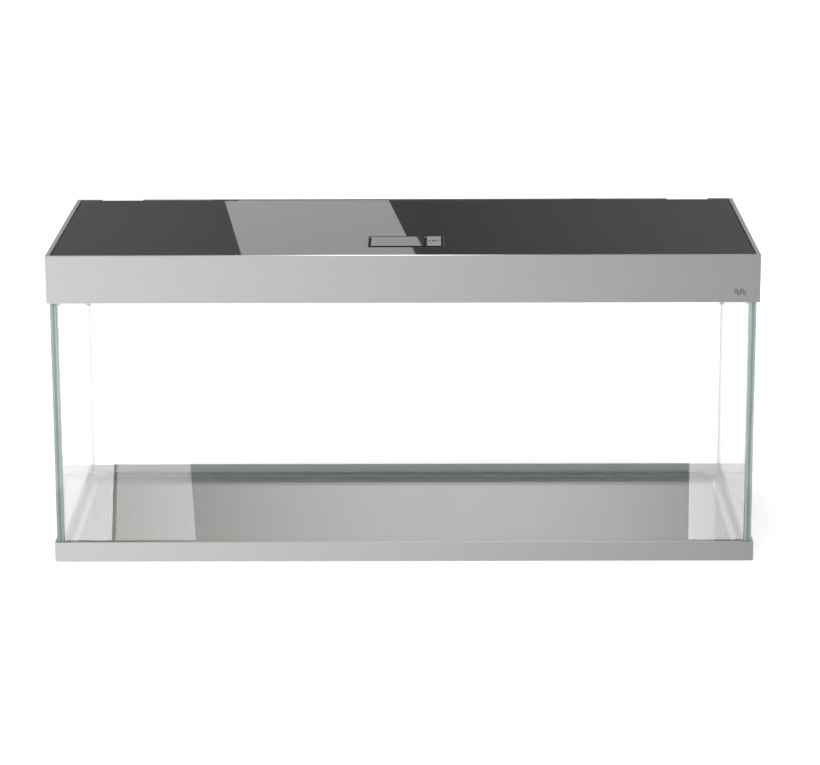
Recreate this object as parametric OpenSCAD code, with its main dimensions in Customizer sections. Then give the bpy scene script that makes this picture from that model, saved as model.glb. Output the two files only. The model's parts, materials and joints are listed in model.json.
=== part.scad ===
// Framed glass aquarium with a deep aluminium hood: a hinged gloss panel with a feeding
// hatch on top, two lamp bars inside, and a low aluminium base frame round the glass.
// Millimetres, +Z up, origin at the middle of the underside, the front faces -Y.

/* [Tank] */
// Length of the glass box over its end panes
tank_l = 1200; // [900:10:1500]
// Depth of the glass box, front to back
tank_w = 500; // [400:10:600]
// Height of the upright panes
pane_h = 490; // [380:10:600]
// Thickness of the upright panes
pane_t = 12; // [8:1:15]
// Thickness of the bottom pane
floor_t = 12; // [8:1:15]
// Thickness of the silicone between two panes
bond = 1; // [0.5:0.5:2]
// Leg of the silicone fillet run along each inside edge
seam_leg = 5; // [3:1:8]

/* [Braces] */
// Thickness of the glass bracing strips
brace_t = 10; // [6:1:12]
// Width of the strips along the front and rear panes
brace_w = 60; // [40:5:90]
// Width of the strip across the middle
cross_brace_w = 120; // [60:10:200]
// Drop from the top edge of the panes to the top of the cross brace
brace_drop = 3; // [1:1:8]

/* [Base frame] */
// Height of the base frame
base_h = 34; // [26:1:50]
// Wall thickness of the base profile
base_wall = 3; // [2:0.5:4]
// Reach of the leg that the panes stand on
base_leg = 28; // [20:1:40]
// Thickness of that leg
base_leg_t = 2; // [1.5:0.5:4]
// Height of the leg's underside above the ground
base_leg_z = 2; // [1.8:0.2:5]
// Gap between the glass and the base wall
base_gap = 1; // [0.5:0.5:2]
// Length of each leg of the corner plates
plate_leg = 60; // [45:5:90]
// Width of the corner plates
plate_w = 22; // [12:1:26]

/* [Hood] */
// Height of the hood band
hood_h = 82; // [76:1:110]
// Height of the hood that lies below the top edge of the glass
hood_overlap = 36; // [20:1:40]
// Wall thickness of the hood profile
hood_wall = 3; // [2:0.5:4]
// Gap between the glass and the hood wall
hood_gap = 2; // [1:0.5:4]
// Width of the rim round the top panel
rim_w = 7; // [5:0.5:12]
// Thickness of the rim
rim_t = 3; // [2:0.5:4]
// Thickness of the inner ledges
ledge_t = 2.5; // [2:0.5:3]
// Reach of the ledge under the top panel, from the wall
panel_ledge = 17; // [14:1:24]
// Thickness of the gasket under the hood's resting ledge
gasket_t = 1.7; // [1:0.1:3]
// Length of each leg of the corner brackets
bracket_leg = 30; // [24:1:40]
// Height of the corner brackets
bracket_h = 16; // [12:1:18]
// Thickness of the corner brackets
bracket_t = 2; // [1.5:0.5:3]

/* [Hose cut-outs] */
// Width of each cut-out in the rear of the hood
cutout_w = 75; // [50:5:90]
// Distance from the end of the hood to the middle of the cut-out
cutout_end = 83.5; // [75:0.5:150]
// Height of the cut-out's sill above the resting ledge
cutout_sill = 4; // [2:1:10]
// Wall thickness of the rubber trim round the cut-out
trim_t = 1.5; // [1:0.5:2]

/* [Top panel] */
// Thickness of the gloss panel
panel_t = 4; // [3:0.5:6]
// Drop from the rim to the panel's upper face
panel_drop = 1; // [0.5:0.5:2.5]
// Gap between the rim and the panel at the front and the ends
panel_gap = 2; // [1:0.5:3]
// Width of the soft strip that the panel rests on
strip_w = 8; // [5:1:10]

/* [Panel hinges] */
// Distance from the middle of the hood to each hinge
hinge_x = 330; // [200:10:350]
// Length of a hinge leaf along its pin
leaf_l = 45; // [40:5:80]
// Reach of the moving leaf under the panel
leaf_reach = 34; // [20:1:60]
// Reach of the fixed leaf along the ledge, in front of the pin
leaf_base = 12; // [10:0.5:13]
// Thickness of a hinge leaf
leaf_t = 1.5; // [1:0.5:2]
// Outer radius of the knuckles
knuckle_r = 3; // [2.8:0.1:3.5]
// Radius of the hinge pin
pin_r = 1.5; // [1:0.25:2]
// Thickness of the adhesive pad between leaf and panel
pad_t = 0.5; // [0.5:0.25:1]

/* [Feeding hatch] */
// Length of the cut-out in the panel
hatch_l = 130; // [100:1:200]
// Depth of the cut-out in the panel
hatch_w = 95; // [80:1:120]
// Distance from the hood's front to the cut-out
hatch_front = 74; // [45:1:90]
// Distance of the cut-out's middle from the middle of the hood
hatch_x = 5; // [-60:1:60]
// Wall thickness of the hatch frame
hatch_wall = 2; // [1.5:0.5:3]
// Flange of the hatch frame under the panel
hatch_flange = 6; // [4:1:10]
// Width of the finger slot in front of the door
slot_w = 10; // [5:0.5:12]
// Depth of the finger trough below the panel's upper face
trough_d = 10; // [8:1:14]
// Reach of the finger trough under the door
trough_reach = 11; // [8:1:16]
// Gap at each end of the door and at the outer end of the button
end_gap = 2.5; // [0.5:0.5:4]
// Length of the catch button along the hatch
button_l = 24; // [18:1:30]
// Travel of the catch button
button_travel = 2.5; // [1.5:0.5:3]
// Radius of the door's hinge pin
door_pin_r = 1; // [0.75:0.25:1.25]

/* [Lamps] */
// Gap between the hatch frame and the front lamp
front_lamp_gap = 7; // [4:1:15]
// Distance from the hood's rear to the middle of the rear lamp
rear_lamp_back = 110; // [60:5:120]
// Width of a lamp bar
lamp_w = 40; // [32:2:48]
// Height of a lamp bar
lamp_h = 22; // [18:1:22]
// Number of cooling fins on a lamp bar
fin_count = 7; // [5:1:9]
// Number of light-emitting diodes on a lamp bar
led_count = 24; // [12:2:36]
// Length of a lamp end cap
cap_l = 12; // [8:1:16]
// Radius of the spigot on a lamp end cap
spigot_r = 6; // [4:0.5:7]

/* [Screws] */
// Radius of the small screws
screw_r = 1.5; // [1:0.25:1.75]
// Head radius of the small screws
screw_head_r = 2.6; // [2:0.2:3]
// Head height of the small screws
screw_head_h = 1.6; // [1:0.2:2]

/* [Clearances] */
// Gap between pieces that come apart or swing past each other
free_gap = 0.3; // [0.2:0.1:0.6]
// Radial gap of a pin that turns in its bore
pin_fit = 0.05; // [0.02:0.01:0.1]

/* [Hidden] */
$fn = 48;
eps = 0.01;

// Glass box
seat_z = base_leg_z + base_leg_t;
floor_z = seat_z + floor_t;
glass_top = seat_z + pane_h;
in_l = tank_l - 2*pane_t;
in_w = tank_w - 2*pane_t;
cross_z = glass_top - brace_drop - brace_t;
brace_z = cross_z - bond - brace_t;
brace_len = in_l - 2*(seam_leg + bond);

// Base frame
base_l = tank_l + 2*(base_gap + base_wall);
base_w = tank_w + 2*(base_gap + base_wall);
mat_l = base_l - 2*(base_wall + base_leg + free_gap);
mat_w = base_w - 2*(base_wall + base_leg + free_gap);
plate_t = base_leg_z - 0.2;

// Hood
hood_l = tank_l + 2*(hood_gap + hood_wall);
hood_w = tank_w + 2*(hood_gap + hood_wall);
hood_z = glass_top - hood_overlap;
hood_top = hood_z + hood_h;
rest_z = glass_top + free_gap + gasket_t;
rest_ledge = hood_gap + pane_t;
rest_top = rest_z + ledge_t;
hood_reach = hood_wall + max(panel_ledge, rest_ledge);
panel_top = hood_top - panel_drop;
panel_z = panel_top - panel_t;
strip_t = 4;
panel_ledge_z = panel_z - strip_t - ledge_t;
panel_ledge_top = panel_ledge_z + ledge_t;
bracket_z = (rest_top + panel_ledge_z - bracket_h)/2;
cutout_z = rest_top + cutout_sill;
cutout_x = hood_l/2 - cutout_end;

// Panel and hinges: the axis runs along the panel's rear edge, and the knuckles stand in
// notches, so that the panel reaches back to the rear wall
axis_y = hood_w/2 - hood_wall - 0.5 - knuckle_r;
axis_z = hood_top - knuckle_r;
panel_l = hood_l - 2*(rim_w + panel_gap);
panel_front = -hood_w/2 + rim_w + panel_gap;
panel_rear = axis_y + sqrt(pow(knuckle_r, 2) - pow(knuckle_r - panel_drop, 2)) - 0.2;
notch_y = axis_y - knuckle_r - 1;
notch_l = leaf_l + 2;
knuckle_l = leaf_l/3;
leaf_top = panel_z - pad_t;
hinge_screw_r = 1;
hinge_head_r = 1.7;
hinge_head_h = 1;

// Feeding hatch
hx0 = hatch_x - hatch_l/2;
hx1 = hatch_x + hatch_l/2;
hy0 = -hood_w/2 + hatch_front;
hy1 = hy0 + hatch_w;
hatch_fit = 0.2;
ix0 = hx0 + hatch_fit + hatch_wall;
ix1 = hx1 - hatch_fit - hatch_wall;
iy0 = hy0 + hatch_fit + hatch_wall;
iy1 = hy1 - hatch_fit - hatch_wall;
door_gap = 0.5;
divider_x = ix1 - end_gap - button_l - door_gap - hatch_wall;
door_r = panel_t/2;
door_axis_y = iy1 - door_gap - door_r;
door_axis_z = panel_z + door_r;
door_front = iy0 + slot_w;
hatch_lip = 4;
lip_t = 2;
lip_top = panel_z - free_gap;
lip_z = lip_top - lip_t;
trough_z = panel_top - trough_d;
button_x = ix1 - end_gap - button_l/2;
button_y = (door_front + iy1 - door_gap)/2;
button_w = iy1 - door_gap - door_front;
well_r = 6;
well_z = panel_z - 12;
post_r = 3.5;
button_floor_z = panel_z - button_travel - 1;
dimple_r = 2.2;
dimple_d = 1.2;
dimple_y = 4;
spring_r = 4.8;
spring_wire = 0.5;
spring_turns = 4;
spring_steps = 10;
spring_sides = 6;

// Lamps
lamp_z = rest_top + 5.5;
lamp_top = lamp_z + lamp_h;
lamp_side = 2;
lamp_plate_z = lamp_z + 8;
lamp_plate_t = 3;
board_t = 1.6;
led_size = 5;
led_t = 1.2;
cover_t = 2;
holder_l = 26;
holder_x = hood_l/2 - hood_wall;
holder_w = 28;
holder_h = 24;
holder_foot = 10;
holder_foot_t = 2.5;
holder_gap = 2;
lamp_l = 2*(holder_x - holder_l - holder_gap - cap_l);
spigot_l = holder_l + holder_gap - 4;
spigot_z = lamp_z + 9;
gland_r = 4;
gland_l = 9;
lamp_ys = [hy1 + hatch_flange + front_lamp_gap + lamp_w/2, hood_w/2 - rear_lamp_back];

// Emblem: three small wave marks
wave_r = 2.4;
wave_line = 1;
wave_t = 0.5;
emblem_end = 34;
emblem_z = hood_z + 18;

// A box from its lowest corner to its highest
module span(a, b) {
    translate(a) cube([b[0] - a[0], b[1] - a[1], b[2] - a[2]]);
}

// A box centred on X and Y that stands on z
module slab(l, w, z, t) {
    translate([-l/2, -w/2, z]) cube([l, w, t]);
}

// A flat ring, outer size less an inner size, standing on z
module ring(l, w, inner_l, inner_w, z, t) {
    difference() {
        slab(l, w, z, t);
        slab(inner_l, inner_w, z - 1, t + 2);
    }
}

// A 2D section, drawn as (Y, Z), run along X and centred on it
module run_x(l) {
    translate([-l/2, 0, 0]) rotate([90, 0, 90]) linear_extrude(l) children();
}

// Puts a piece drawn for the front (outer face at y = 0, inside towards +Y) on one side
module on_side(side, l, w) {
    turn = side == "front" ? 0 : side == "rear" ? 180 : side == "left" ? -90 : 90;
    at = side == "front" ? [0, -w/2, 0] : side == "rear" ? [0, w/2, 0]
        : side == "left" ? [-l/2, 0, 0] : [l/2, 0, 0];
    translate(at) rotate([0, 0, turn]) children();
}

// A profile run with both ends mitred at 45 degrees
module mitred(l, reach, z0, z1) {
    intersection() {
        run_x(l) children();
        translate([0, 0, z0 - 1]) linear_extrude(z1 - z0 + 2)
            polygon([[-l/2, 0], [l/2, 0], [l/2 - reach, reach], [reach - l/2, reach]]);
    }
}

// The length of a side
function side_l(side, l, w) = (side == "front" || side == "rear") ? l : w;

// A piece in each of the four corners, drawn for the front left one
module in_corners() {
    for (mx = [0, 1], my = [0, 1]) mirror([mx, 0, 0]) mirror([0, my, 0]) children();
}

// A pan-head screw along +Z, its head's underside at the origin
module screw(l) {
    translate([0, 0, -l]) cylinder(r = screw_r, h = l + eps);
    cylinder(r = screw_head_r, h = screw_head_h);
}

// ---- Glass box ----

module upright(l) {
    slab(l, pane_t, seat_z, pane_h);
}

module bottom_glass() {
    color([0.75, 0.85, 0.82, 0.4]) slab(in_l - 2*bond, in_w - 2*bond, seat_z, floor_t);
}

module front_glass() {
    color([0.8, 0.9, 0.88, 0.3])
        translate([0, -(tank_w - pane_t)/2, 0]) upright(in_l - 2*bond);
}

module rear_glass() {
    color([0.8, 0.9, 0.88, 0.3])
        translate([0, (tank_w - pane_t)/2, 0]) upright(in_l - 2*bond);
}

module end_glass(sign) {
    translate([sign*(tank_l - pane_t)/2, 0, 0]) slab(pane_t, tank_w, seat_z, pane_h);
}

module left_glass() {
    color([0.7, 0.88, 0.84, 0.4]) end_glass(-1);
}

module right_glass() {
    color([0.7, 0.88, 0.84, 0.4]) end_glass(1);
}

// A silicone fillet section with its right angle at the origin and a hollow face
module fillet_2d() {
    difference() {
        square(seam_leg);
        translate([seam_leg, seam_leg]) circle(r = seam_leg - 0.6);
    }
}

module corner_seam() {
    translate([-in_l/2, -tank_w/2, seat_z]) cube([bond, pane_t, pane_h]);
    translate([-in_l/2, -in_w/2, floor_z + seam_leg])
        linear_extrude(pane_h - floor_t - seam_leg) fillet_2d();
}

module corner_seams() {
    color([0.9, 0.92, 0.92]) in_corners() corner_seam();
}

module floor_fillet(l) {
    run_x(l) translate([0, floor_z]) fillet_2d();
}

module floor_seam() {
    color([0.85, 0.88, 0.88]) {
        ring(in_l, in_w, in_l - 2*bond, in_w - 2*bond, seat_z, floor_t);
        for (side = ["front", "rear", "left", "right"])
            on_side(side, in_l, in_w) floor_fillet(side_l(side, in_l, in_w));
    }
}

module long_brace(sign) {
    translate([0, sign*(in_w/2 - bond - brace_w/2), 0]) slab(brace_len, brace_w, brace_z, brace_t);
}

module front_brace() {
    color([0.8, 0.9, 0.88, 0.4]) long_brace(-1);
}

module rear_brace() {
    color([0.8, 0.9, 0.88, 0.4]) long_brace(1);
}

module cross_brace() {
    color([0.8, 0.9, 0.88, 0.4])
        slab(cross_brace_w, in_w - 2*bond, cross_z, brace_t);
}

module brace_seams() {
    color([0.9, 0.92, 0.92]) for (sign = [-1, 1])
        translate([0, sign*(in_w - bond)/2, 0]) slab(brace_len, bond, brace_z, brace_t);
}

module cross_brace_bonds() {
    color([0.9, 0.92, 0.92]) for (sign = [-1, 1])
        translate([0, sign*(in_w/2 - bond - brace_w/2), 0])
            slab(cross_brace_w - 4, brace_w - 4, brace_z + brace_t, bond);
}

// ---- Base frame ----

module base_section() {
    square([base_wall, base_h]);
    translate([base_wall - eps, base_leg_z]) square([base_leg + eps, base_leg_t]);
}

// Where the corner plates are screwed up into the legs, from the corner of the frame
plate_in = base_wall + 2;
screw_in = plate_in + plate_w/2;
plate_screws = [[screw_in, screw_in], [plate_in + plate_leg - 10, screw_in],
    [screw_in, plate_in + plate_leg - 10]];

plate_z = base_leg_z - plate_t;

// Countersunk screws, driven up from below
module plate_screw_set() {
    in_corners() for (p = plate_screws)
        translate([p[0] - base_l/2, p[1] - base_w/2, plate_z]) {
            cylinder(r = screw_r, h = plate_t + base_leg_t - 0.5);
            cylinder(r1 = screw_head_r, r2 = screw_r, h = screw_head_r - screw_r);
        }
}

module base_profile(side) {
    l = side_l(side, base_l, base_w);
    difference() {
        on_side(side, base_l, base_w)
            mitred(l, base_wall + base_leg, 0, base_h) base_section();
        plate_screw_set();
    }
}

module base_front_profile() {
    color("silver") base_profile("front");
}

module base_rear_profile() {
    color("silver") base_profile("rear");
}

module base_left_profile() {
    color("silver") base_profile("left");
}

module base_right_profile() {
    color("silver") base_profile("right");
}

module base_corner_plates() {
    color("gray") difference() {
        in_corners() translate([plate_in - base_l/2, plate_in - base_w/2, plate_z]) {
            cube([plate_leg, plate_w, plate_t]);
            cube([plate_w, plate_leg, plate_t]);
        }
        plate_screw_set();
    }
}

module base_corner_screws() {
    color("dimgray") plate_screw_set();
}

module base_mat() {
    color([0.55, 0.56, 0.53]) slab(mat_l, mat_w, 0, seat_z);
}

// ---- Hood frame ----

module hood_section() {
    translate([0, hood_z]) square([hood_wall, hood_h]);
    translate([hood_wall - eps, rest_z]) square([rest_ledge + eps, ledge_t]);
    translate([hood_wall - eps, panel_ledge_z]) square([panel_ledge + eps, ledge_t]);
    translate([0, hood_top - rim_t]) square([rim_w, rim_t]);
}

// Screws of one corner bracket: along the long side, then along the short side
module bracket_screws() {
    z = bracket_z + bracket_h/2;
    at = hood_wall + bracket_leg - 8;
    depth = bracket_t + hood_wall - 0.5;
    face = hood_wall + bracket_t;
    translate([at - hood_l/2, face - hood_w/2, z]) rotate([-90, 0, 0]) screw(depth);
    translate([face - hood_l/2, at - hood_w/2, z]) rotate([0, 90, 0]) screw(depth);
}

module hood_corner_screws() {
    color("dimgray") in_corners() bracket_screws();
}

module hood_profile(side) {
    l = side_l(side, hood_l, hood_w);
    difference() {
        on_side(side, hood_l, hood_w) mitred(l, hood_reach, hood_z, hood_top) hood_section();
        in_corners() bracket_screws();
    }
}

module cutout_2d(grow) {
    w = cutout_w + 2*grow;
    r = 5 + grow;
    translate([-w/2, cutout_z - grow + r]) square([w, hood_top - cutout_z + grow - r + 1]);
    translate([r - w/2, cutout_z - grow]) square([w - 2*r, r + eps]);
    for (s = [-1, 1]) translate([s*(w/2 - r), cutout_z - grow + r]) circle(r = r);
}

module cutouts(grow, y0, y1) {
    for (s = [-1, 1])
        translate([s*cutout_x, y1, 0]) rotate([90, 0, 0]) linear_extrude(y1 - y0) cutout_2d(grow);
}

module hood_front_profile() {
    color("silver") difference() {
        hood_profile("front");
        emblem_inlay();
    }
}

// The rim runs along the front and the ends only
module hood_rear_profile() {
    color("silver") difference() {
        hood_profile("rear");
        cutouts(0, hood_w/2 - hood_reach - 1, hood_w/2 + 1);
        hinge_screw_set();
        span([rim_w - hood_l/2, hood_w/2 - rim_w - 1, hood_top - rim_t - 1],
            [hood_l/2 - rim_w, hood_w/2 - hood_wall, hood_top + 1]);
    }
}

module hood_left_profile() {
    color("silver") difference() {
        hood_profile("left");
        holder_screw_set();
    }
}

module hood_right_profile() {
    color("silver") difference() {
        hood_profile("right");
        holder_screw_set();
    }
}

module hood_corner_brackets() {
    color("gray") difference() {
        in_corners() translate([hood_wall - hood_l/2, hood_wall - hood_w/2, bracket_z]) {
            cube([bracket_leg, bracket_t, bracket_h]);
            cube([bracket_t, bracket_leg, bracket_h]);
        }
        in_corners() bracket_screws();
    }
}

module hood_gasket() {
    color([0.12, 0.12, 0.12])
        ring(tank_l, tank_w, in_l + 2, in_w + 2, glass_top + free_gap, gasket_t);
}

module panel_rest_strip() {
    l = panel_l - 2;
    color([0.1, 0.1, 0.1]) difference() {
        translate([0, (panel_front + 1 + panel_rear - 60)/2, 0])
            slab(l, panel_rear - 60 - panel_front - 1, panel_ledge_top, strip_t - free_gap);
        span([strip_w - l/2, panel_front + 1 + strip_w, panel_ledge_top - 1],
            [l/2 - strip_w, panel_rear, panel_z]);
    }
}

// A rubber channel that grips the edge of each rear cut-out
module hose_trims() {
    inner = hood_w/2 - hood_wall;
    color([0.1, 0.1, 0.1]) difference() {
        intersection() {
            cutouts(0, inner - trim_t, hood_w/2);
            slab(2*hood_l, 2*hood_w, cutout_z - 5, panel_ledge_z - cutout_z + 4.5);
        }
        cutouts(-trim_t, inner - trim_t - 1, hood_w/2 + 1);
    }
}

module wave() {
    for (i = [0:3]) translate([i*2*wave_r, 0]) intersection() {
        difference() {
            circle(r = wave_r + wave_line/2);
            circle(r = wave_r - wave_line/2);
        }
        translate([-2*wave_r, i % 2 == 0 ? 0 : -4*wave_r]) square([4*wave_r, 4*wave_r]);
    }
}

module emblem_inlay() {
    translate([hood_l/2 - emblem_end, wave_t - hood_w/2, emblem_z])
        rotate([90, 0, 0]) linear_extrude(wave_t)
            for (k = [-1, 0, 1]) translate([-3*wave_r, k*3*wave_line]) wave();
}

module front_emblem() {
    color([0.2, 0.2, 0.2]) emblem_inlay();
}

// ---- Panel hinges ----

// Screws, sunk flush, that hold each fixed leaf down on the rear ledge
module hinge_screw_set() {
    h = leaf_t + ledge_t - 0.5;
    for (s = [-1, 1], e = [-1, 1])
        translate([s*hinge_x + e*(leaf_l/2 - 6), axis_y - leaf_base + 4,
            panel_ledge_top + leaf_t]) {
            translate([0, 0, -h]) cylinder(r = hinge_screw_r, h = h);
            translate([0, 0, -hinge_head_h]) cylinder(r = hinge_head_r, h = hinge_head_h);
        }
}

module hinge_screws() {
    color("dimgray") hinge_screw_set();
}

module barrel(x0, x1, r) {
    translate([x0, axis_y, axis_z]) rotate([0, 90, 0]) cylinder(r = r, h = x1 - x0);
}

module fixed_leaf() {
    rear = axis_y + knuckle_r - 0.5;
    difference() {
        union() {
            span([-leaf_l/2, axis_y - leaf_base, panel_ledge_top],
                [leaf_l/2, rear, panel_ledge_top + leaf_t]);
            for (s = [-1, 1]) {
                x0 = s < 0 ? -leaf_l/2 : knuckle_l/2;
                barrel(x0, x0 + knuckle_l, knuckle_r);
                span([x0, axis_y - 1, panel_ledge_top], [x0 + knuckle_l, rear, axis_z]);
            }
        }
        barrel(-leaf_l, leaf_l, pin_r);
    }
}

module hinge_fixed_leaves() {
    color("gray") difference() {
        for (s = [-1, 1]) translate([s*hinge_x, 0, 0]) fixed_leaf();
        hinge_screw_set();
    }
}

module moving_leaf() {
    x = knuckle_l/2 - free_gap;
    bottom = leaf_top - leaf_t;
    difference() {
        union() {
            span([-leaf_l/2, notch_y - leaf_reach, bottom], [leaf_l/2, notch_y + 0.5, leaf_top]);
            barrel(-x, x, knuckle_r);
            span([-x, notch_y, bottom], [x, axis_y, leaf_top]);
            span([-x, axis_y - knuckle_r, bottom], [x, axis_y, axis_z]);
        }
        barrel(-leaf_l, leaf_l, pin_r + pin_fit);
    }
}

module hinge_moving_leaves() {
    color("gray") for (s = [-1, 1]) translate([s*hinge_x, 0, 0]) moving_leaf();
}

module hinge_pins() {
    color("silver") for (s = [-1, 1])
        translate([s*hinge_x, 0, 0]) barrel(-leaf_l/2, leaf_l/2, pin_r);
}

module hinge_pads() {
    color([0.2, 0.2, 0.2]) for (s = [-1, 1])
        span([s*hinge_x - leaf_l/2 + 2, notch_y - leaf_reach + 2, leaf_top],
            [s*hinge_x + leaf_l/2 - 2, notch_y - 2, panel_z]);
}

// ---- Top panel and feeding hatch ----

module top_panel() {
    color([0.08, 0.08, 0.09]) difference() {
        span([-panel_l/2, panel_front, panel_z], [panel_l/2, panel_rear, panel_top]);
        span([hx0, hy0, panel_z - 1], [hx1, hy1, panel_top + 1]);
        for (s = [-1, 1]) translate([s*hinge_x, 0, 0])
            span([-notch_l/2, notch_y, panel_z - 1], [notch_l/2, panel_rear + 1, panel_top + 1]);
    }
}

module door_axis(x0, x1, r) {
    translate([x0, door_axis_y, door_axis_z]) rotate([0, 90, 0]) cylinder(r = r, h = x1 - x0);
}

module hatch_frame() {
    color([0.05, 0.05, 0.05]) difference() {
        union() {
            span([hx0 - hatch_flange, hy0 - hatch_flange, panel_z - lip_t],
                [hx1 + hatch_flange, hy1 + hatch_flange, panel_z]);
            span([hx0 + hatch_fit, hy0 + hatch_fit, lip_z],
                [hx1 - hatch_fit, hy1 - hatch_fit, panel_top]);
            span([hx0 + hatch_fit, hy0 + hatch_fit, trough_z - lip_t],
                [hx1 - hatch_fit, door_front + trough_reach + hatch_wall, panel_z]);
            span([divider_x, hy0 + hatch_fit, well_z - lip_t],
                [hx1 - hatch_fit, hy1 - hatch_fit, panel_z]);
        }
        span([ix0, iy0, lip_top], [divider_x, iy1, panel_top + 1]);
        span([ix0, iy0, trough_z], [ix1, door_front, panel_top + 1]);
        span([ix0, iy0, trough_z], [divider_x, door_front + trough_reach, panel_top + 1]);
        span([ix0 + hatch_lip, door_front + trough_reach + hatch_wall, well_z - 5],
            [divider_x - hatch_lip, iy1 - hatch_lip, panel_top]);
        span([divider_x + hatch_wall, iy0, button_floor_z], [ix1, iy1, panel_top + 1]);
        translate([button_x, button_y, well_z]) cylinder(r = well_r, h = 20);
        door_axis(hx0 + 1, divider_x + hatch_wall, door_pin_r);
    }
}

module hatch_hinge_pin() {
    color("silver") door_axis(hx0 + 1, divider_x + hatch_wall, door_pin_r);
}

module hatch_door() {
    x0 = ix0 + end_gap;
    x1 = divider_x - end_gap;
    color([0.08, 0.08, 0.09]) difference() {
        union() {
            span([x0, door_front, panel_z], [x1, door_axis_y, panel_top]);
            door_axis(x0, x1, door_r);
        }
        door_axis(x0 - 1, x1 + 1, door_pin_r + pin_fit);
    }
}

// The button has three grip ribs in the middle and a dimple on each side of them
module hatch_button() {
    color([0.55, 0.55, 0.56]) translate([button_x, button_y, 0]) {
        difference() {
            slab(button_l, button_w, panel_z, panel_t);
            for (s = [-1, 1]) translate([s*button_l*0.31, dimple_y, panel_top - dimple_d])
                cylinder(r = dimple_r, h = dimple_d + 1);
        }
        translate([0, 0, well_z + button_travel + 0.5])
            cylinder(r = post_r, h = panel_z - well_z - button_travel);
        for (k = [-1:1])
            translate([0, dimple_y + k*4, 0]) slab(button_l*0.3, 1.6, panel_top - eps, 0.5);
    }
}

// The points of one ring of the spring's wire, at step i of the helix
function spring_at(i) = i*360/spring_steps;
function spring_h(i) = well_z + spring_wire + 0.1
    + (panel_z - well_z - 2*spring_wire - 0.5)*i/(spring_turns*spring_steps);
function spring_ring(i) = [for (k = [0:spring_sides - 1])
    let (a = k*360/spring_sides, r = spring_r + spring_wire*cos(a))
    [button_x + r*cos(spring_at(i)), button_y + r*sin(spring_at(i)),
        spring_h(i) + spring_wire*sin(a)]];

module hatch_button_spring() {
    n = spring_turns*spring_steps;
    m = spring_sides;
    points = [for (i = [0:n]) each spring_ring(i)];
    sides = [for (i = [0:n - 1], k = [0:m - 1])
        [i*m + k, i*m + (k + 1) % m, (i + 1)*m + (k + 1) % m, (i + 1)*m + k]];
    ends = [[for (k = [m - 1:-1:0]) k], [for (k = [0:m - 1]) n*m + k]];
    color("silver") polyhedron(points = points, faces = concat(sides, ends));
}

// ---- Lamps ----

module lamp_section() {
    pitch = (lamp_w - 4)/(fin_count - 1);
    translate([-lamp_w/2, lamp_plate_z]) square([lamp_w, lamp_plate_t]);
    for (s = [-1, 1])
        translate([s*(lamp_w - lamp_side)/2 - lamp_side/2, lamp_z])
            square([lamp_side, lamp_plate_z - lamp_z + eps]);
    for (i = [0:fin_count - 1])
        translate([-lamp_w/2 + 2 + i*pitch - 0.75, lamp_plate_z + lamp_plate_t - eps])
            square([1.5, lamp_top - lamp_plate_z - lamp_plate_t + eps]);
}

module lamp_housing(y) {
    color("silver") translate([0, y, 0]) run_x(lamp_l) lamp_section();
}

module lamp_board(y) {
    color([0.92, 0.92, 0.9]) translate([0, y, 0])
        slab(lamp_l - 10, lamp_w - 10, lamp_plate_z - board_t, board_t);
}

module lamp_leds(y) {
    pitch = (lamp_l - 40)/(led_count - 1);
    color([0.95, 0.9, 0.6]) for (i = [0:led_count - 1])
        translate([i*pitch - (lamp_l - 40)/2, y, 0])
            slab(led_size, led_size, lamp_plate_z - board_t - led_t, led_t);
}

module lamp_cover(y) {
    color([0.95, 0.97, 1, 0.5]) translate([0, y, 0])
        slab(lamp_l, lamp_w - 2*lamp_side, lamp_z + 0.5, cover_t);
}

module lamp_caps(y) {
    color([0.12, 0.12, 0.12]) for (s = [0, 1]) mirror([s, 0, 0]) {
        translate([lamp_l/2, y - lamp_w/2, lamp_z]) cube([cap_l, lamp_w, lamp_h]);
        translate([lamp_l/2 + cap_l - eps, y, spigot_z]) rotate([0, 90, 0])
            cylinder(r = spigot_r, h = spigot_l + eps);
    }
}

module front_lamp_housing() {
    lamp_housing(lamp_ys[0]);
}

module front_lamp_board() {
    lamp_board(lamp_ys[0]);
}

module front_lamp_leds() {
    lamp_leds(lamp_ys[0]);
}

module front_lamp_cover() {
    lamp_cover(lamp_ys[0]);
}

module front_lamp_caps() {
    lamp_caps(lamp_ys[0]);
}

module rear_lamp_housing() {
    lamp_housing(lamp_ys[1]);
}

module rear_lamp_board() {
    lamp_board(lamp_ys[1]);
}

module rear_lamp_leds() {
    lamp_leds(lamp_ys[1]);
}

module rear_lamp_cover() {
    lamp_cover(lamp_ys[1]);
}

module rear_lamp_caps() {
    lamp_caps(lamp_ys[1]);
}

// A threaded gland on the rear side of each right-hand end cap, where its lead leaves
module lamp_glands() {
    color([0.15, 0.15, 0.15]) for (y = lamp_ys)
        translate([lamp_l/2 + cap_l/2, y + lamp_w/2, lamp_z + lamp_h/2]) rotate([-90, 0, 0])
            difference() {
                union() {
                    cylinder(r = gland_r + 1, h = 4, $fn = 6);
                    cylinder(r = gland_r, h = gland_l);
                }
                translate([0, 0, 2]) cylinder(r = 2.5, h = gland_l);
            }
}

// Screws that hold each lamp holder down on the resting ledge
module holder_screw_set() {
    x = holder_x - rest_ledge/2;
    for (s = [-1, 1], y = lamp_ys, e = [-1, 1])
        translate([s*x, y + e*(holder_w + holder_foot)/2, rest_top + holder_foot_t])
            screw(holder_foot_t + ledge_t - 0.5);
}

module lamp_holder_screws() {
    color("dimgray") holder_screw_set();
}

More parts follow.
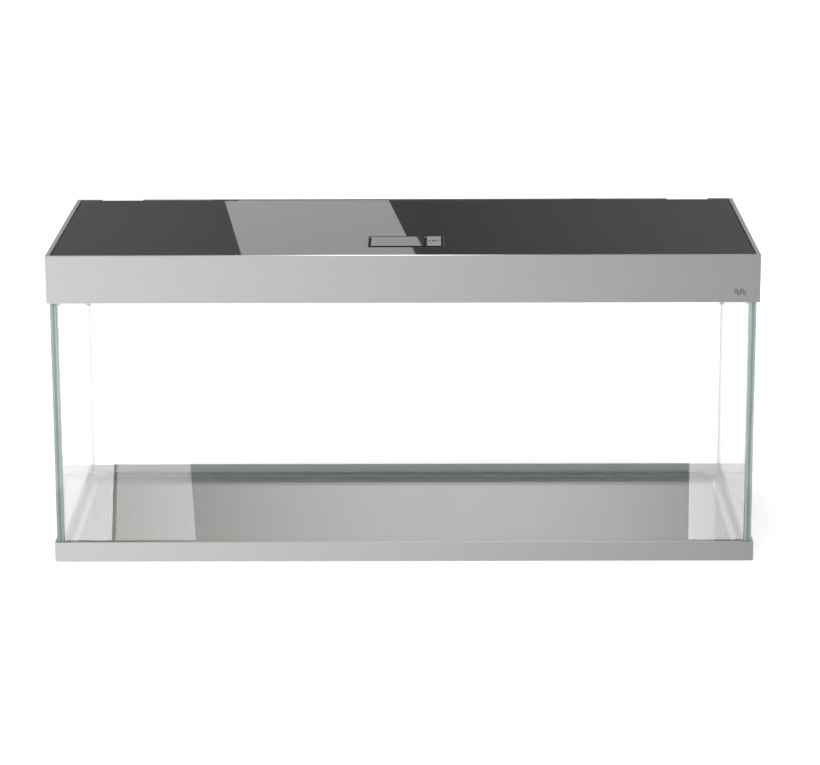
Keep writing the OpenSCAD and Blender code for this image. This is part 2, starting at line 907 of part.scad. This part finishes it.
module lamp_holder() {
    foot_l = rest_ledge - 1;
    difference() {
        union() {
            translate([-holder_l, -holder_w/2, rest_top]) cube([holder_l, holder_w, holder_h]);
            translate([-foot_l, -holder_w/2 - holder_foot, rest_top])
                cube([foot_l, holder_w + 2*holder_foot, holder_foot_t]);
        }
        translate([-holder_l - 1, 0, spigot_z + free_gap]) rotate([0, 90, 0])
            cylinder(r = spigot_r + free_gap, h = holder_l + 2);
        translate([-holder_l - 1, -spigot_r - free_gap, spigot_z + free_gap])
            cube([holder_l + 2, 2*(spigot_r + free_gap), holder_h]);
    }
}

module lamp_holders() {
    color([0.15, 0.15, 0.15]) difference() {
        for (s = [0, 1], y = lamp_ys)
            mirror([s, 0, 0]) translate([holder_x, y, 0]) lamp_holder();
        holder_screw_set();
    }
}

bottom_glass();
front_glass();
rear_glass();
left_glass();
right_glass();
corner_seams();
floor_seam();
front_brace();
rear_brace();
cross_brace();
brace_seams();
cross_brace_bonds();
base_front_profile();
base_rear_profile();
base_left_profile();
base_right_profile();
base_corner_plates();
base_corner_screws();
base_mat();
hood_front_profile();
hood_rear_profile();
hood_left_profile();
hood_right_profile();
hood_corner_brackets();
hood_corner_screws();
hood_gasket();
panel_rest_strip();
hose_trims();
front_emblem();
hinge_fixed_leaves();
hinge_pins();
hinge_screws();
lamp_holders();
lamp_holder_screws();
lamp_glands();
front_lamp_housing();
front_lamp_board();
front_lamp_leds();
front_lamp_cover();
front_lamp_caps();
rear_lamp_housing();
rear_lamp_board();
rear_lamp_leds();
rear_lamp_cover();
rear_lamp_caps();
top_panel();
hinge_moving_leaves();
hinge_pads();
hatch_frame();
hatch_hinge_pin();
hatch_button_spring();
hatch_door();
hatch_button();
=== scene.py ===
"""Looks of a framed glass aquarium with an aluminium hood, its studio and its camera."""
import json
import math

import bmesh
import bpy
from mathutils import Matrix, Vector


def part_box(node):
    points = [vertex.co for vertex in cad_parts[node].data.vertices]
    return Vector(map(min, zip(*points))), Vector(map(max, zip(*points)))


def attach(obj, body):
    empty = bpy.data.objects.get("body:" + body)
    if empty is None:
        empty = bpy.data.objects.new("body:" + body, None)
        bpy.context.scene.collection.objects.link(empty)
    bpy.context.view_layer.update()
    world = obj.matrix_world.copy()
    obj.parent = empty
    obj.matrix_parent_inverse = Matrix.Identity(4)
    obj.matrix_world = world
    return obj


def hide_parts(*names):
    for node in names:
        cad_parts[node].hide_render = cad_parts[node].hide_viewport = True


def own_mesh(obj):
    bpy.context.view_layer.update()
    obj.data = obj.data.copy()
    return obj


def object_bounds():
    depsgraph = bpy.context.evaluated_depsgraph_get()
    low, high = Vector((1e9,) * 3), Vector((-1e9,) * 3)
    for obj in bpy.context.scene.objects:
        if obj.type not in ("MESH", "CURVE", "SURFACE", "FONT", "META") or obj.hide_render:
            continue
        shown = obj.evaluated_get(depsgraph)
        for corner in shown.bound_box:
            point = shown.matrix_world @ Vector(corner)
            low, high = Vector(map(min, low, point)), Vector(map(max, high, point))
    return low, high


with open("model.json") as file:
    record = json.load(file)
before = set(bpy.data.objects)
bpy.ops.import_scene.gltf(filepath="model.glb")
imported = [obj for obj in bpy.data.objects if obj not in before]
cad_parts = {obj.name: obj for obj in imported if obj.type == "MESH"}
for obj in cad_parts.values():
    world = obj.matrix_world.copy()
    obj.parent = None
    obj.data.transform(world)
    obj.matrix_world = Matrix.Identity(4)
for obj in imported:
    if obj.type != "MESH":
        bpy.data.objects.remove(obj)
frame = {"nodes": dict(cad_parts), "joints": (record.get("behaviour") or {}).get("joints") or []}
cad_low, cad_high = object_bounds()
MM = 0.001

# ---- Camera ----

SENSOR = 36.0            # mm, along the frame's long side
LENS = 134.97            # mm
PITCH = 14.252           # degrees down
TURN = 0.355             # degrees to the left
ROLL = -0.202           # degrees
CAMERA_PLACE = (0.0431, -5.338, 1.6101)


def make_camera():
    camera = bpy.data.objects.new("camera", bpy.data.cameras.new("camera"))
    bpy.context.scene.collection.objects.link(camera)
    camera.data.sensor_width = SENSOR
    camera.data.lens = LENS
    camera.data.clip_end = 200.0
    camera.matrix_world = (
        Matrix.Translation(CAMERA_PLACE)
        @ Matrix.Rotation(math.radians(TURN), 4, "Z")
        @ Matrix.Rotation(math.radians(90 - PITCH), 4, "X")
        @ Matrix.Rotation(math.radians(ROLL), 4, "Z")
    )
    bpy.context.scene.camera = camera


make_camera()


# ---- Shader sums written as Python ----

class Value:
    """A number socket on which sums can be written."""

    def __init__(self, finish, socket):
        self.finish = finish
        self.socket = socket

    def sum(self, operation, left, right=0.0):
        return self.finish.node("ShaderNodeMath", {"operation": operation},
                                **{"0": left, "1": right})

    def __add__(self, other):
        return self.sum("ADD", self, other)

    __radd__ = __add__

    def __sub__(self, other):
        return self.sum("SUBTRACT", self, other)

    def __rsub__(self, other):
        return self.sum("SUBTRACT", other, self)

    def __mul__(self, other):
        return self.sum("MULTIPLY", self, other)

    __rmul__ = __mul__

    def __truediv__(self, other):
        return self.sum("DIVIDE", self, other)

    def __gt__(self, other):
        return self.sum("GREATER_THAN", self, other)

    def __abs__(self):
        return self.sum("ABSOLUTE", self)

    def clamped(self):
        return self.sum("MINIMUM", self.sum("MAXIMUM", self, 0.0), 1.0)

    def over(self, low, high):
        """0 at low, 1 at high, straight between."""
        return ((self - low) / (high - low)).clamped()


class Finish:
    """A node tree under construction: a material's or the world's."""

    def __init__(self, tree):
        self.tree = tree
        tree.nodes.clear()

    def node(self, kind, settings=None, output=0, **values):
        """Adds a node and returns its output as a Value. The settings are set first, then the
        sockets get their values or links."""
        made = self.tree.nodes.new(kind)
        for name, setting in (settings or {}).items():
            setattr(made, name, setting)
        for name, value in values.items():
            key = int(name) if name.isdigit() else name.replace("_", " ")
            socket = made.inputs[key]
            if isinstance(value, Value):
                self.tree.links.new(value.socket, socket)
            else:
                socket.default_value = value
        return Value(self, made.outputs[output]) if made.outputs else None

    def place(self, which="Object"):
        return self.node("ShaderNodeTexCoord", output=which)

    def along(self, vector, axis):
        return self.node("ShaderNodeSeparateXYZ", output=axis, Vector=vector)

    def facing(self, axis):
        """How far the surface faces along an axis, from -1 to 1."""
        return self.along(self.node("ShaderNodeNewGeometry", output="Normal"), axis)

    def stretched(self, scale):
        return self.node("ShaderNodeVectorMath", {"operation": "MULTIPLY"},
                         **{"0": self.place(), "1": scale})

    def noise(self, vector, scale, detail=2.0, rough=0.5):
        return self.node("ShaderNodeTexNoise", Vector=vector, Scale=scale, Detail=detail,
                         Roughness=rough)

    def mix(self, share, first, second):
        """A blend of two colours."""
        made = self.tree.nodes.new("ShaderNodeMix")
        made.data_type = "RGBA"
        for key, value in (("Factor", share), (6, first), (7, second)):
            socket = made.inputs[key]
            if isinstance(value, Value):
                self.tree.links.new(value.socket, socket)
            else:
                socket.default_value = value
        return Value(self, made.outputs[2])

    def bump(self, height, depth, strength=1.0):
        return self.node("ShaderNodeBump", Height=height, Distance=depth, Strength=strength)

    def surface(self, shader):
        self.node("ShaderNodeOutputMaterial", Surface=shader)


def material(name):
    made = bpy.data.materials.new(name)
    made.use_nodes = True
    return made, Finish(made.node_tree)


def rgb(red, green, blue):
    return (red, green, blue, 1.0)


# ---- Finishes ----

PAINTED_SHADE_CORE = cad_high.x - 11 * MM     # middle plane of the end panes, from the tank's centre, along which shade is painted into their edges
END_RUNS = (0.560, 0.575)            # from the centre, where the long silicone runs and their painted shade stop
DOOR_TILT = 0.022                    # slope of the hatch door along X


def glass_finish(name, broad_axis, painted_shade_core=0.0):
    """Float glass: almost clear through its broad faces, sea green at its ground edges, and
    darkest along the middle of an edge, where shade is painted into the green; that middle lies
    at the given distance from the centre."""
    made, f = material(name)
    edge = 1 - abs(f.facing(broad_axis)).over(0.6, 0.9)
    streak = f.noise(f.stretched((40.0, 40.0, 1.5)), 4.0, 3.0)
    green = f.mix(streak.over(0.35, 0.65), rgb(0.33, 0.42, 0.40), rgb(0.48, 0.59, 0.56))
    if painted_shade_core:
        # painted shade: a dark line along the middle of the end panes' edges
        shade_core_distance = abs(abs(f.along(f.place(), broad_axis)) - painted_shade_core)
        green = f.mix((1 - shade_core_distance.over(1.0 * MM, 3.5 * MM)) * 0.75, green, rgb(0.16, 0.22, 0.21))
    tint = f.mix(edge, rgb(0.985, 0.996, 0.992), green)
    smear = f.noise(f.stretched((2.0, 2.0, 1.0)), 3.0, 3.0).over(0.45, 0.75)
    glass = f.node("ShaderNodeBsdfPrincipled", Base_Color=tint, Roughness=0.002 + 0.004 * smear,
                   IOR=1.5, Transmission_Weight=1.0)
    ground = f.node("ShaderNodeBsdfPrincipled", Base_Color=green, Roughness=0.45)
    glass = f.node("ShaderNodeMixShader", **{"0": edge * 0.55, "1": glass, "2": ground})
    through = f.node("ShaderNodeBsdfTransparent", Color=rgb(0.93, 0.96, 0.95))
    lamp_ray = f.node("ShaderNodeLightPath", output="Is Shadow Ray")
    f.surface(f.node("ShaderNodeMixShader", **{"0": lamp_ray, "1": glass, "2": through}))
    return made


def silicone_finish():
    """Translucent silicone, tooled smooth, with a slight ripple along each run; shade is painted
    along the long runs, which are darker and more opaque than their ends and the corner seams.
    """
    made, f = material("clear_silicone")
    ripple = f.noise(f.place(), 40.0, 2.0)
    # painted shade: the long runs are darker and more opaque than the ends
    painted_shade_run = 1 - abs(f.along(f.place(), "X")).over(*END_RUNS)
    tint = f.mix(painted_shade_run * 0.8 + 0.2 * ripple, rgb(0.46, 0.48, 0.48), rgb(0.12, 0.13, 0.13))
    f.surface(f.node("ShaderNodeBsdfPrincipled", Base_Color=tint, Roughness=0.3 + 0.1 * ripple,
                     IOR=1.41, Alpha=0.28 + 0.27 * painted_shade_run, Normal=f.bump(ripple, 0.05 * MM)))
    return made


def aluminium_finish(name, grain, tone=0.80, rough=0.26, painted_light_face=False):
    """Satin anodised aluminium, with its draw lines along the profile. The face that a rear
    profile turns to the front can be given painted light: a pale grey without metal, so that it
    reads lighter."""
    made, f = material(name)
    lines = f.noise(f.stretched(grain), 1.0, 4.0, 0.65)
    cloud = f.noise(f.place(), 2.5, 3.0)
    shade = f.mix(lines.over(0.3, 0.7), rgb(tone * 0.95, tone * 0.95, tone * 0.955),
                  rgb(tone, tone, tone))
    metal = 1.0
    if painted_light_face:
        # painted light: the face turned to the front is pale grey and not metal, so it reads
        # lighter
        painted_light_mask = (0 - f.facing("Y")).over(0.5, 0.8)
        shade = f.mix(painted_light_mask, shade, rgb(0.88, 0.89, 0.895))
        metal = 1 - painted_light_mask
    f.surface(f.node(
        "ShaderNodeBsdfPrincipled", Base_Color=shade, Metallic=metal,
        Roughness=rough + 0.06 * cloud + 0.05 * lines,
        Normal=f.bump(lines, 0.02 * MM, 0.6)))
    return made


def steel_finish(name, tone, rough):
    made, f = material(name)
    grain = f.noise(f.place(), 900.0, 3.0)
    stain = f.noise(f.place(), 40.0, 3.0)
    shade = f.mix(stain, rgb(tone * 0.85, tone * 0.86, tone * 0.9), rgb(tone, tone, tone))
    f.surface(f.node("ShaderNodeBsdfPrincipled", Base_Color=shade, Metallic=1.0,
                     Roughness=rough + 0.1 * grain, Normal=f.bump(grain, 0.03 * MM)))
    return made


def gloss_black_finish(name, tilt=0.0):
    """Gloss black, shaded as lying out of true by the given slope along X."""
    made, f = material(name)
    haze = f.noise(f.place(), 14.0, 4.0)
    tone = f.mix(haze, rgb(0.008, 0.008, 0.009), rgb(0.011, 0.011, 0.012))
    lie = {"Normal": f.bump(f.along(f.place(), "X") * tilt, 1.0)} if tilt else {}
    f.surface(f.node("ShaderNodeBsdfPrincipled", Base_Color=tone, IOR=1.5,
                     Roughness=0.012 + 0.02 * haze.over(0.4, 0.8), **lie))
    return made


def plastic_finish(name, colour, rough, grain_size=1400.0, depth=0.03):
    """Moulded plastic or rubber with a fine grain."""
    made, f = material(name)
    grain = f.noise(f.place(), grain_size, 2.0)
    cloud = f.noise(f.place(), 30.0, 3.0)
    dark = rgb(*(c * 0.86 for c in colour))
    f.surface(f.node("ShaderNodeBsdfPrincipled", Base_Color=f.mix(cloud, dark, rgb(*colour)),
                     Roughness=rough + 0.08 * cloud, Normal=f.bump(grain, depth * MM)))
    return made


def button_finish():
    """Satin grey face on a black moulded body."""
    made, f = material("two_tone_button")
    grain = f.noise(f.place(), 1400.0, 2.0)
    cloud = f.noise(f.place(), 90.0, 3.0)
    face = f.along(f.place("Normal"), "Z").over(0.5, 0.8)
    grey = f.mix(cloud, rgb(0.12, 0.12, 0.122), rgb(0.20, 0.20, 0.203))
    tone = f.mix(face, rgb(0.01, 0.01, 0.01), grey)
    f.surface(f.node("ShaderNodeBsdfPrincipled", Base_Color=tone, Roughness=0.42 + 0.08 * cloud,
                     Normal=f.bump(grain, 0.03 * MM)))
    return made


def foam_finish():
    """Closed-cell foam: fine cells and a slightly uneven grey."""
    made, f = material("grey_foam_mat")
    cells = f.node("ShaderNodeTexVoronoi", Vector=f.place(), Scale=700.0)
    cloud = f.noise(f.place(), 6.0, 4.0)
    tone = f.mix(cloud, rgb(0.335, 0.325, 0.238), rgb(0.385, 0.374, 0.280))
    f.surface(f.node("ShaderNodeBsdfPrincipled", Base_Color=tone, Roughness=0.9,
                     Normal=f.bump(cells, 0.15 * MM)))
    return made


def cover_finish():
    """Clear lamp cover, ribbed along its length, with shade painted into the troughs of the
    ribs.
    """
    made, f = material("ribbed_lamp_cover")
    ribs = f.node("ShaderNodeTexWave", {"bands_direction": "Y"}, Vector=f.place(), Scale=120.0)
    # painted shade: the rib troughs are darker, the crests lighter
    tone = f.mix(ribs.over(0.0, 1.0), rgb(0.90, 0.93, 0.95), rgb(0.96, 0.98, 0.99))
    f.surface(f.node("ShaderNodeBsdfPrincipled", Base_Color=tone, Roughness=0.12, IOR=1.49,
                     Transmission_Weight=0.85, Normal=f.bump(ribs, 0.3 * MM)))
    return made


def board_finish():
    """White lacquered board with pale copper runs under the lacquer."""
    made, f = material("white_led_board")
    wide = f.along(f.place(), "X")
    run = f.node("ShaderNodeMath", {"operation": "PINGPONG"}, **{"0": wide, "1": 12 * MM})
    copper = (run > 10.5 * MM) * 0.35
    tone = f.mix(copper, rgb(0.82, 0.82, 0.79), rgb(0.62, 0.56, 0.42))
    f.surface(f.node("ShaderNodeBsdfPrincipled", Base_Color=tone, Roughness=0.35))
    return made


# Stretch of the draw lines that run along X or along Y
ALONG_X = (2.0, 1600.0, 1600.0)
ALONG_Y = (1600.0, 2.0, 1600.0)
FINISHES = {
    "glass_facing_y": glass_finish("float_glass_y", "Y"),
    "glass_facing_x": glass_finish("float_glass_x", "X", PAINTED_SHADE_CORE),
    "glass_facing_z": glass_finish("float_glass_z", "Z"),
    "silicone": silicone_finish(),
    "aluminium_x": aluminium_finish("satin_aluminium_x", ALONG_X),
    "painted_light_aluminium_x": aluminium_finish("painted_light_backed_aluminium", ALONG_X, painted_light_face=True),
    "aluminium_y": aluminium_finish("satin_aluminium_y", ALONG_Y),
    "lamp_aluminium": aluminium_finish("lamp_aluminium", ALONG_X, 0.66, 0.3),
    "zinc": steel_finish("zinc_plate", 0.60, 0.35),
    "screw": steel_finish("stainless_screw", 0.55, 0.25),
    "pin": steel_finish("drawn_pin", 0.65, 0.18),
    "foam": foam_finish(),
    "rubber": plastic_finish("black_rubber", (0.022, 0.022, 0.022), 0.6),
    "gloss_black": gloss_black_finish("gloss_black_panel"),
    "black_plastic": plastic_finish("black_plastic", (0.018, 0.018, 0.018), 0.38),
    "matt_black": plastic_finish("matt_black", (0.012, 0.012, 0.012), 0.8),
    "gloss_door": gloss_black_finish("gloss_black_door", DOOR_TILT),
    "button": button_finish(),
    "black_steel": steel_finish("black_coated_steel", 0.06, 0.4),
    "emblem": plastic_finish("emblem_inlay", (0.06, 0.06, 0.06), 0.5),
    "board": board_finish(),
    "led": plastic_finish("led_resin", (0.85, 0.72, 0.30), 0.2),
    "lamp_cover": cover_finish(),
}

WEARS = {
    "glass_facing_y": ("front_glass", "rear_glass"),
    "glass_facing_x": ("left_glass", "right_glass"),
    "glass_facing_z": ("bottom_glass", "front_brace", "rear_brace", "cross_brace"),
    "silicone": ("corner_seams", "floor_seam", "brace_seams", "cross_brace_bonds"),
    "aluminium_x": ("base_front_profile", "hood_front_profile", "hood_rear_profile"),
    "painted_light_aluminium_x": ("base_rear_profile",),
    "aluminium_y": ("base_left_profile", "base_right_profile", "hood_left_profile",
                    "hood_right_profile"),
    "lamp_aluminium": ("front_lamp_housing", "rear_lamp_housing"),
    "zinc": ("base_corner_plates", "hood_corner_brackets"),
    "black_steel": ("hinge_fixed_leaves", "hinge_moving_leaves"),
    "screw": ("base_corner_screws", "hood_corner_screws", "hinge_screws", "lamp_holder_screws"),
    "pin": ("hinge_pins", "hatch_hinge_pin"),
    "foam": ("base_mat",),
    "rubber": ("hood_gasket", "panel_rest_strip", "hose_trims", "hinge_pads"),
    "gloss_black": ("top_panel",),
    "matt_black": ("hatch_frame",),
    "gloss_door": ("hatch_door",),
    "black_plastic": ("lamp_holders", "lamp_glands", "front_lamp_caps", "rear_lamp_caps"),
    "button": ("hatch_button",),
    "emblem": ("front_emblem",),
    "board": ("front_lamp_board", "rear_lamp_board"),
    "led": ("front_lamp_leds", "rear_lamp_leds"),
    "lamp_cover": ("front_lamp_cover", "rear_lamp_cover"),
}

# Width of the softened edges, in millimetres
EDGES = {
    "glass_facing_y": 0.6, "glass_facing_x": 0.6, "glass_facing_z": 0.6,
    "aluminium_x": 0.35, "painted_light_aluminium_x": 0.35, "aluminium_y": 0.35, "lamp_aluminium": 0.2,
    "zinc": 0.2, "black_steel": 0.2, "gloss_black": 0.4, "gloss_door": 0.4,
    "black_plastic": 0.3, "matt_black": 0.3, "button": 0.35, "foam": 0.5,
}
WELD_REACH = 0.001 * MM
SHARP_ANGLE = 40         # degrees; flatter edges stay as they are
HAIR_GAP = 0.05 * MM     # between a pane and what touches it


def dress(node, finish):
    """Gives a CAD node its finish and softens its edges."""
    piece = frame["nodes"][node]
    piece.data.materials.clear()
    piece.data.materials.append(FINISHES[finish])
    if finish in EDGES:
        weld = piece.modifiers.new("weld", "WELD")
        weld.merge_threshold = WELD_REACH
        bevel = piece.modifiers.new("bevel", "BEVEL")
        bevel.width = EDGES[finish] * MM
        bevel.segments = 2
        bevel.limit_method = "ANGLE"
        bevel.angle_limit = math.radians(SHARP_ANGLE)
        bevel.harden_normals = True
    if finish.startswith("glass"):
        # Panes keep a hair's breadth from what touches them, so that no two faces coincide
        shrink = piece.modifiers.new("hair_gap", "DISPLACE")
        shrink.mid_level = 0.0
        shrink.strength = -HAIR_GAP


for finish, nodes in WEARS.items():
    for node in nodes:
        dress(node, finish)


# ---- Catch spring ----

SPRING_TURNS = 4
SPRING_WIRE = 0.5 * MM   # radius
RINGS_PER_TURN = 24
WIRE_SIDES = 10


def make_catch_spring():
    """The coil round the post of the hatch button."""
    low, high = (Vector(corner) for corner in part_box("hatch_button_spring"))
    foot = Vector(((low.x + high.x) / 2, (low.y + high.y) / 2, low.z))
    radius = (high.x - low.x) / 2 - SPRING_WIRE
    rise = high.z - low.z - 2 * SPRING_WIRE
    count = SPRING_TURNS * RINGS_PER_TURN
    up = Vector((0, 0, 1))
    coil = bmesh.new()
    rings = []
    for step in range(count + 1):
        turn = math.tau * step / RINGS_PER_TURN
        out = Vector((math.cos(turn), math.sin(turn), 0))
        middle = foot + radius * out + (SPRING_WIRE + rise * step / count) * up
        rings.append([
            coil.verts.new(middle + SPRING_WIRE * (math.cos(a) * out + math.sin(a) * up))
            for a in (math.tau * side / WIRE_SIDES for side in range(WIRE_SIDES))])
    for ring, after in zip(rings, rings[1:]):
        for side in range(WIRE_SIDES):
            beside = (side + 1) % WIRE_SIDES
            coil.faces.new((ring[side], after[side], after[beside], ring[beside])).smooth = True
    coil.faces.new(rings[0])
    coil.faces.new(reversed(rings[-1]))
    bmesh.ops.recalc_face_normals(coil, faces=coil.faces)
    mesh = bpy.data.meshes.new("catch_spring")
    coil.to_mesh(mesh)
    coil.free()
    mesh.materials.append(FINISHES["pin"])
    spring = bpy.data.objects.new("catch_spring", mesh)
    bpy.context.scene.collection.objects.link(spring)
    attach(spring, "flap")
    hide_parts("hatch_button_spring")
    press = next(joint for joint in frame["joints"] if joint["name"] == "button_press")
    1 - press["range_m"][1] / (high.z - low.z)
    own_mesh(spring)


make_catch_spring()


# ---- Studio ----

FLOOR_REACH = 60.0
FLOOR_DROP = 0.3 * MM    # under the base
STRIPE_CARD_Y = 3.0
RIM_CARD_Y = 3.1
FRONT_CARD_HEIGHT = 12 * MM
FRONT_CARD_NEAR = -0.33  # y of the front cards' near and far ends
FRONT_CARD_FAR = -2.19
FRONT_CARD_EDGE = 1.3    # outer sides of the left and right card
FRONT_CARD_GAP = 7 * MM  # between the left and the faint card
WHITE = rgb(1, 1, 1)


def emitter(name, strength, colour=(1.0, 1.0, 1.0)):
    """Light that adds to what lies behind it."""
    made, f = material(name)
    made.cycles.emission_sampling = "NONE"
    glow = f.node("ShaderNodeEmission", Color=rgb(*colour), Strength=strength)
    clear = f.node("ShaderNodeBsdfTransparent", Color=WHITE)
    f.surface(f.node("ShaderNodeAddShader", **{"0": glow, "1": clear}))
    return made


def sheet_of(name, corners, finish):
    """A flat stage card through its corners."""
    mesh = bpy.data.meshes.new(name)
    mesh.from_pydata([Vector(c) for c in corners], [], [tuple(range(len(corners)))])
    mesh.materials.append(finish)
    card = bpy.data.objects.new(name, mesh)
    bpy.context.scene.collection.objects.link(card)
    return card


def only_in_reflections(card):
    card.visible_camera = False
    card.visible_diffuse = False
    card.visible_transmission = False
    card.visible_shadow = False
    card.visible_volume_scatter = False


def make_floor():
    made, f = material("studio_floor")
    f.surface(f.node("ShaderNodeBsdfPrincipled", Base_Color=rgb(0.93, 0.93, 0.93), Roughness=0.9,
                     Specular_IOR_Level=0.0))
    far = FLOOR_REACH
    below = cad_low.z - FLOOR_DROP
    floor = sheet_of("studio_floor", [(-far, -far, below), (far, -far, below),
                                      (far, far, below), (-far, far, below)], made)
    floor.visible_glossy = False


def make_stripe_card():
    """The tilted card behind the tank whose reflection lies across the gloss panel."""
    y = STRIPE_CARD_Y
    card = sheet_of("stripe_card", [(-0.566, y, 0.90), (-0.146, y, 0.90),
                                    (0.143, y, 1.50), (-0.394, y, 1.50)],
                    emitter("stripe_light", 0.72))
    only_in_reflections(card)


def make_front_cards():
    """Three cards lying in front of the tank, which only the broad panes reflect."""
    panes = bpy.data.collections.new("panes")
    for node in WEARS["glass_facing_y"]:
        panes.objects.link(frame["nodes"][node])
    z, near, far = FRONT_CARD_HEIGHT, FRONT_CARD_NEAR, FRONT_CARD_FAR
    edge, gap = FRONT_CARD_EDGE, FRONT_CARD_GAP
    left_near, left_far = -0.514, -0.684
    faint_near, faint_far = -0.366, -0.543
    right_near, right_far = 0.499, 0.659
    bright = emitter("bright_card_light", 10.4, (1.0, 0.995, 1.0))
    soft = emitter("soft_card_light", 8.4, (1.0, 0.995, 1.0))
    faint = emitter("faint_card_light", 5.6)
    for name, x0, x1, x2, x3, finish in (
        ("left_card", -edge, left_near, left_far, -edge, bright),
        ("faint_card", left_near + gap, faint_near, faint_far, left_far + gap, faint),
        ("right_card", right_near, edge, edge, right_far, soft),
    ):
        card = sheet_of(name, [(x0, near, z), (x1, near, z), (x2, far, z), (x3, far, z)], finish)
        only_in_reflections(card)
        card.light_linking.receiver_collection = panes


def make_rim_card():
    """A card behind the tank that only the top of the front hood profile reflects."""
    rim = bpy.data.collections.new("front_rim")
    rim.objects.link(frame["nodes"]["hood_front_profile"])
    y = RIM_CARD_Y
    card = sheet_of("rim_card", [(-0.31, y, 0.5), (0.16, y, 0.5),
                                 (0.19, y, 2.2), (-0.31, y, 2.2)],
                    emitter("rim_light", 1.6))
    only_in_reflections(card)
    card.light_linking.receiver_collection = rim


def make_world():
    """White surroundings, with one strength for mirrored rays, one for rays that came through
    glass, brightest behind the middle of the tank, and one for all other rays."""
    world = bpy.data.worlds.new("studio_world")
    world.use_nodes = True
    bpy.context.scene.world = world
    f = Finish(world.node_tree)
    direction = f.place("Generated")
    side = f.along(direction, "X").over(-0.25, 0.25)
    back = f.along(direction, "Y").over(-0.2, 0.2)
    up = f.along(direction, "Z")
    front_tone = 1.14 - 1.08 * side
    back_tone = 0.10 + 0.95 * abs(f.along(direction, "X")).clamped() + up.over(0.35, 0.80) * 1.2
    seen_in_gloss = front_tone * (1 - back) + back_tone * back
    through_glass = f.node("ShaderNodeLightPath", output="Is Transmission Ray")
    mirrored = f.node("ShaderNodeLightPath", output="Glossy Depth") > 0.5
    off_centre = f.along(direction, "X") - 0.009
    spread = 0.25 + 0.75 * (1 - 88 * off_centre * off_centre).clamped()
    beyond = 0.35 * (1 - back) + 1.20 * back * spread
    backdrop = 1.4 * (1 - through_glass) + beyond * through_glass
    mirrored = mirrored * (1 - through_glass)
    strength = seen_in_gloss * mirrored + backdrop * (1 - mirrored)
    shade = f.node("ShaderNodeBackground", Color=WHITE, Strength=strength)
    f.node("ShaderNodeOutputWorld", Surface=shade)


def make_lamp(name, place, target, size, power):
    data = bpy.data.lights.new(name, "AREA")
    data.energy = power
    data.shape = "RECTANGLE"
    data.size, data.size_y = size
    lamp = bpy.data.objects.new(name, data)
    bpy.context.scene.collection.objects.link(lamp)
    lamp.location = place
    aim = Vector(target) - Vector(place)
    lamp.rotation_mode = "QUATERNION"
    lamp.rotation_quaternion = aim.to_track_quat("-Z", "Y")
    lamp.visible_glossy = False
    lamp.visible_camera = False
    lamp.visible_transmission = False


make_floor()
make_stripe_card()
make_front_cards()
make_rim_card()
make_world()
make_lamp("overhead_softbox", (-0.6, -0.8, 3.6), (0, 0, 0.2), (4.0, 3.0), 60.0)
bpy.context.scene.view_settings.view_transform = "Standard"
